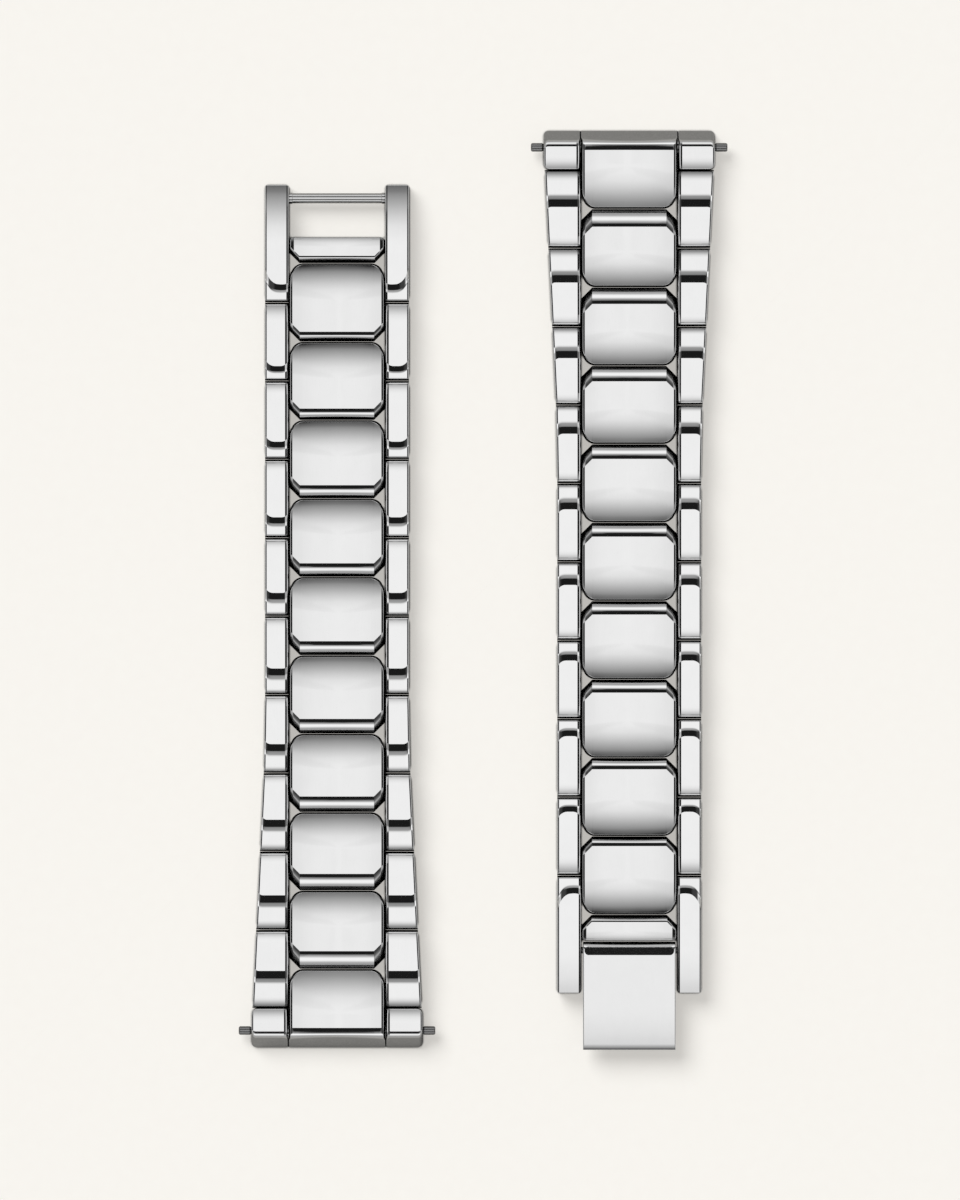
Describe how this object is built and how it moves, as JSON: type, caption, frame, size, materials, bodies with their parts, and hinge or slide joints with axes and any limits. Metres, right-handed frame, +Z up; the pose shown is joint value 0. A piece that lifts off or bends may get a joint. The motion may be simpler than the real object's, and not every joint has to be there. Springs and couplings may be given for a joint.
{
  "type": "steel watch bracelet",
  "caption": "Two strands of polished steel links with side plates and domed centre links, spring bars at the watch ends and a hooked leaf clasp.",
  "frame": {"origin": "on the resting plane, at the middle of the box around both strands", "axes": "+Z up, away from the back of the bracelet; +Y along the strands, towards the clasp of the left strand; +X from the left strand to the right strand"},
  "size_m": [0.0454, 0.0856, 0.0028],
  "materials": {
    "centre_steel": "mirror polished stainless steel",
    "side_steel": "mirror polished stainless steel",
    "leaf_steel": "polished stainless steel plate",
    "pin_steel": "drawn stainless steel wire"
  },
  "bodies": {
    "left_end": {"left_end_link": "centre_steel", "left_end_blocks": "side_steel", "left_spring_bar_tube": "pin_steel", "left_spring_bar_coil": "pin_steel"},
    "left_spring_bar_tip_a": {"left_spring_bar_tip_a": "pin_steel"},
    "left_spring_bar_tip_b": {"left_spring_bar_tip_b": "pin_steel"},
    "left_side_links_9": {"left_side_links_9": "side_steel"},
    "left_centre_link_9": {"left_centre_link_9": "centre_steel"},
    "left_side_links_8": {"left_side_links_8": "side_steel"},
    "left_centre_link_8": {"left_centre_link_8": "centre_steel"},
    "left_side_links_7": {"left_side_links_7": "side_steel"},
    "left_centre_link_7": {"left_centre_link_7": "centre_steel"},
    "left_side_links_6": {"left_side_links_6": "side_steel"},
    "left_centre_link_6": {"left_centre_link_6": "centre_steel"},
    "left_side_links_5": {"left_side_links_5": "side_steel"},
    "left_centre_link_5": {"left_centre_link_5": "centre_steel"},
    "left_side_links_4": {"left_side_links_4": "side_steel"},
    "left_centre_link_4": {"left_centre_link_4": "centre_steel"},
    "left_side_links_3": {"left_side_links_3": "side_steel"},
    "left_centre_link_3": {"left_centre_link_3": "centre_steel"},
    "left_side_links_2": {"left_side_links_2": "side_steel"},
    "left_centre_link_2": {"left_centre_link_2": "centre_steel"},
    "left_side_links_1": {"left_side_links_1": "side_steel"},
    "left_centre_link_1": {"left_centre_link_1": "centre_steel"},
    "left_clasp_frame": {"left_frame_legs": "side_steel", "left_frame_bridge": "centre_steel", "left_frame_pins": "pin_steel", "clasp_bar": "pin_steel"},
    "right_end": {"right_end_link": "centre_steel", "right_end_blocks": "side_steel", "right_spring_bar_tube": "pin_steel", "right_spring_bar_coil": "pin_steel"},
    "right_spring_bar_tip_a": {"right_spring_bar_tip_a": "pin_steel"},
    "right_spring_bar_tip_b": {"right_spring_bar_tip_b": "pin_steel"},
    "right_side_links_9": {"right_side_links_9": "side_steel"},
    "right_centre_link_9": {"right_centre_link_9": "centre_steel"},
    "right_side_links_8": {"right_side_links_8": "side_steel"},
    "right_centre_link_8": {"right_centre_link_8": "centre_steel"},
    "right_side_links_7": {"right_side_links_7": "side_steel"},
    "right_centre_link_7": {"right_centre_link_7": "centre_steel"},
    "right_side_links_6": {"right_side_links_6": "side_steel"},
    "right_centre_link_6": {"right_centre_link_6": "centre_steel"},
    "right_side_links_5": {"right_side_links_5": "side_steel"},
    "right_centre_link_5": {"right_centre_link_5": "centre_steel"},
    "right_side_links_4": {"right_side_links_4": "side_steel"},
    "right_centre_link_4": {"right_centre_link_4": "centre_steel"},
    "right_side_links_3": {"right_side_links_3": "side_steel"},
    "right_centre_link_3": {"right_centre_link_3": "centre_steel"},
    "right_side_links_2": {"right_side_links_2": "side_steel"},
    "right_centre_link_2": {"right_centre_link_2": "centre_steel"},
    "right_side_links_1": {"right_side_links_1": "side_steel"},
    "right_centre_link_1": {"right_centre_link_1": "centre_steel"},
    "right_clasp_frame": {"right_frame_legs": "side_steel", "right_frame_bridge": "centre_steel", "right_frame_pins": "pin_steel", "clasp_leaf_pin": "pin_steel"},
    "clasp_leaf": {"clasp_leaf": "leaf_steel", "clasp_hook": "side_steel"}
  },
  "joints": [
    {"name": "left_tip_a_press", "type": "slide", "parent": "left_end", "child": "left_spring_bar_tip_a", "axis": [-1, 0, 0], "range_m": [0, 0.001], "stiffness_N_per_m": 400, "deforming": ["left_spring_bar_coil"]},
    {"name": "left_tip_b_press", "type": "slide", "parent": "left_end", "child": "left_spring_bar_tip_b", "axis": [1, 0, 0], "range_m": [0, 0.001], "stiffness_N_per_m": 400, "deforming": ["left_spring_bar_coil"]},
    {"name": "left_pin_01", "type": "hinge", "parent": "left_end", "child": "left_side_links_9", "pos_m": [-0.0136, -0.0371, 0.0013], "axis": [-1, 0, 0], "range_deg": [-4, 15]},
    {"name": "left_pin_02", "type": "hinge", "parent": "left_side_links_9", "child": "left_centre_link_9", "pos_m": [-0.0136, -0.03345, 0.0013], "axis": [-1, 0, 0], "range_deg": [-4, 15]},
    {"name": "left_pin_03", "type": "hinge", "parent": "left_centre_link_9", "child": "left_side_links_8", "pos_m": [-0.0136, -0.0298, 0.0013], "axis": [-1, 0, 0], "range_deg": [-4, 15]},
    {"name": "left_pin_04", "type": "hinge", "parent": "left_side_links_8", "child": "left_centre_link_8", "pos_m": [-0.0136, -0.02615, 0.0013], "axis": [-1, 0, 0], "range_deg": [-4, 15]},
    {"name": "left_pin_05", "type": "hinge", "parent": "left_centre_link_8", "child": "left_side_links_7", "pos_m": [-0.0136, -0.0225, 0.0013], "axis": [-1, 0, 0], "range_deg": [-4, 15]},
    {"name": "left_pin_06", "type": "hinge", "parent": "left_side_links_7", "child": "left_centre_link_7", "pos_m": [-0.0136, -0.01885, 0.0013], "axis": [-1, 0, 0], "range_deg": [-4, 15]},
    {"name": "left_pin_07", "type": "hinge", "parent": "left_centre_link_7", "child": "left_side_links_6", "pos_m": [-0.0136, -0.0152, 0.0013], "axis": [-1, 0, 0], "range_deg": [-4, 15]},
    {"name": "left_pin_08", "type": "hinge", "parent": "left_side_links_6", "child": "left_centre_link_6", "pos_m": [-0.0136, -0.01155, 0.0013], "axis": [-1, 0, 0], "range_deg": [-4, 15]},
    {"name": "left_pin_09", "type": "hinge", "parent": "left_centre_link_6", "child": "left_side_links_5", "pos_m": [-0.0136, -0.0079, 0.0013], "axis": [-1, 0, 0], "range_deg": [-4, 15]},
    {"name": "left_pin_10", "type": "hinge", "parent": "left_side_links_5", "child": "left_centre_link_5", "pos_m": [-0.0136, -0.00425, 0.0013], "axis": [-1, 0, 0], "range_deg": [-4, 15]},
    {"name": "left_pin_11", "type": "hinge", "parent": "left_centre_link_5", "child": "left_side_links_4", "pos_m": [-0.0136, -0.0006, 0.0013], "axis": [-1, 0, 0], "range_deg": [-4, 15]},
    {"name": "left_pin_12", "type": "hinge", "parent": "left_side_links_4", "child": "left_centre_link_4", "pos_m": [-0.0136, 0.00305, 0.0013], "axis": [-1, 0, 0], "range_deg": [-4, 15]},
    {"name": "left_pin_13", "type": "hinge", "parent": "left_centre_link_4", "child": "left_side_links_3", "pos_m": [-0.0136, 0.0067, 0.0013], "axis": [-1, 0, 0], "range_deg": [-4, 15]},
    {"name": "left_pin_14", "type": "hinge", "parent": "left_side_links_3", "child": "left_centre_link_3", "pos_m": [-0.0136, 0.01035, 0.0013], "axis": [-1, 0, 0], "range_deg": [-4, 15]},
    {"name": "left_pin_15", "type": "hinge", "parent": "left_centre_link_3", "child": "left_side_links_2", "pos_m": [-0.0136, 0.014, 0.0013], "axis": [-1, 0, 0], "range_deg": [-4, 15]},
    {"name": "left_pin_16", "type": "hinge", "parent": "left_side_links_2", "child": "left_centre_link_2", "pos_m": [-0.0136, 0.01765, 0.0013], "axis": [-1, 0, 0], "range_deg": [-4, 15]},
    {"name": "left_pin_17", "type": "hinge", "parent": "left_centre_link_2", "child": "left_side_links_1", "pos_m": [-0.0136, 0.0213, 0.0013], "axis": [-1, 0, 0], "range_deg": [-4, 15]},
    {"name": "left_pin_18", "type": "hinge", "parent": "left_side_links_1", "child": "left_centre_link_1", "pos_m": [-0.0136, 0.02495, 0.0013], "axis": [-1, 0, 0], "range_deg": [-4, 15]},
    {"name": "left_pin_19", "type": "hinge", "parent": "left_centre_link_1", "child": "left_clasp_frame", "pos_m": [-0.0136, 0.0286, 0.0013], "axis": [-1, 0, 0], "range_deg": [-4, 15]},
    {"name": "right_strand_lift", "type": "slide", "parent": "left_end", "child": "right_end", "axis": [0, 0, 1], "range_m": [0, 0.03]},
    {"name": "right_tip_a_press", "type": "slide", "parent": "right_end", "child": "right_spring_bar_tip_a", "axis": [1, 0, 0], "range_m": [0, 0.001], "stiffness_N_per_m": 400, "deforming": ["right_spring_bar_coil"]},
    {"name": "right_tip_b_press", "type": "slide", "parent": "right_end", "child": "right_spring_bar_tip_b", "axis": [-1, 0, 0], "range_m": [0, 0.001], "stiffness_N_per_m": 400, "deforming": ["right_spring_bar_coil"]},
    {"name": "right_pin_01", "type": "hinge", "parent": "right_end", "child": "right_side_links_9", "pos_m": [0.0136, 0.0373, 0.0013], "axis": [1, 0, 0], "range_deg": [-4, 15]},
    {"name": "right_pin_02", "type": "hinge", "parent": "right_side_links_9", "child": "right_centre_link_9", "pos_m": [0.0136, 0.03365, 0.0013], "axis": [1, 0, 0], "range_deg": [-4, 15]},
    {"name": "right_pin_03", "type": "hinge", "parent": "right_centre_link_9", "child": "right_side_links_8", "pos_m": [0.0136, 0.03, 0.0013], "axis": [1, 0, 0], "range_deg": [-4, 15]},
    {"name": "right_pin_04", "type": "hinge", "parent": "right_side_links_8", "child": "right_centre_link_8", "pos_m": [0.0136, 0.02635, 0.0013], "axis": [1, 0, 0], "range_deg": [-4, 15]},
    {"name": "right_pin_05", "type": "hinge", "parent": "right_centre_link_8", "child": "right_side_links_7", "pos_m": [0.0136, 0.0227, 0.0013], "axis": [1, 0, 0], "range_deg": [-4, 15]},
    {"name": "right_pin_06", "type": "hinge", "parent": "right_side_links_7", "child": "right_centre_link_7", "pos_m": [0.0136, 0.01905, 0.0013], "axis": [1, 0, 0], "range_deg": [-4, 15]},
    {"name": "right_pin_07", "type": "hinge", "parent": "right_centre_link_7", "child": "right_side_links_6", "pos_m": [0.0136, 0.0154, 0.0013], "axis": [1, 0, 0], "range_deg": [-4, 15]},
    {"name": "right_pin_08", "type": "hinge", "parent": "right_side_links_6", "child": "right_centre_link_6", "pos_m": [0.0136, 0.01175, 0.0013], "axis": [1, 0, 0], "range_deg": [-4, 15]},
    {"name": "right_pin_09", "type": "hinge", "parent": "right_centre_link_6", "child": "right_side_links_5", "pos_m": [0.0136, 0.0081, 0.0013], "axis": [1, 0, 0], "range_deg": [-4, 15]},
    {"name": "right_pin_10", "type": "hinge", "parent": "right_side_links_5", "child": "right_centre_link_5", "pos_m": [0.0136, 0.00445, 0.0013], "axis": [1, 0, 0], "range_deg": [-4, 15]},
    {"name": "right_pin_11", "type": "hinge", "parent": "right_centre_link_5", "child": "right_side_links_4", "pos_m": [0.0136, 0.0008, 0.0013], "axis": [1, 0, 0], "range_deg": [-4, 15]},
    {"name": "right_pin_12", "type": "hinge", "parent": "right_side_links_4", "child": "right_centre_link_4", "pos_m": [0.0136, -0.00285, 0.0013], "axis": [1, 0, 0], "range_deg": [-4, 15]},
    {"name": "right_pin_13", "type": "hinge", "parent": "right_centre_link_4", "child": "right_side_links_3", "pos_m": [0.0136, -0.0065, 0.0013], "axis": [1, 0, 0], "range_deg": [-4, 15]},
    {"name": "right_pin_14", "type": "hinge", "parent": "right_side_links_3", "child": "right_centre_link_3", "pos_m": [0.0136, -0.01015, 0.0013], "axis": [1, 0, 0], "range_deg": [-4, 15]},
    {"name": "right_pin_15", "type": "hinge", "parent": "right_centre_link_3", "child": "right_side_links_2", "pos_m": [0.0136, -0.0138, 0.0013], "axis": [1, 0, 0], "range_deg": [-4, 15]},
    {"name": "right_pin_16", "type": "hinge", "parent": "right_side_links_2", "child": "right_centre_link_2", "pos_m": [0.0136, -0.01745, 0.0013], "axis": [1, 0, 0], "range_deg": [-4, 15]},
    {"name": "right_pin_17", "type": "hinge", "parent": "right_centre_link_2", "child": "right_side_links_1", "pos_m": [0.0136, -0.0211, 0.0013], "axis": [1, 0, 0], "range_deg": [-4, 15]},
    {"name": "right_pin_18", "type": "hinge", "parent": "right_side_links_1", "child": "right_centre_link_1", "pos_m": [0.0136, -0.02475, 0.0013], "axis": [1, 0, 0], "range_deg": [-4, 15]},
    {"name": "right_pin_19", "type": "hinge", "parent": "right_centre_link_1", "child": "right_clasp_frame", "pos_m": [0.0136, -0.0284, 0.0013], "axis": [1, 0, 0], "range_deg": [-4, 15]},
    {"name": "leaf_hinge", "type": "hinge", "parent": "right_clasp_frame", "child": "clasp_leaf", "pos_m": [0.0136, -0.03352, 0.00195], "axis": [-1, 0, 0], "range_deg": [0, 90]}
  ]
}
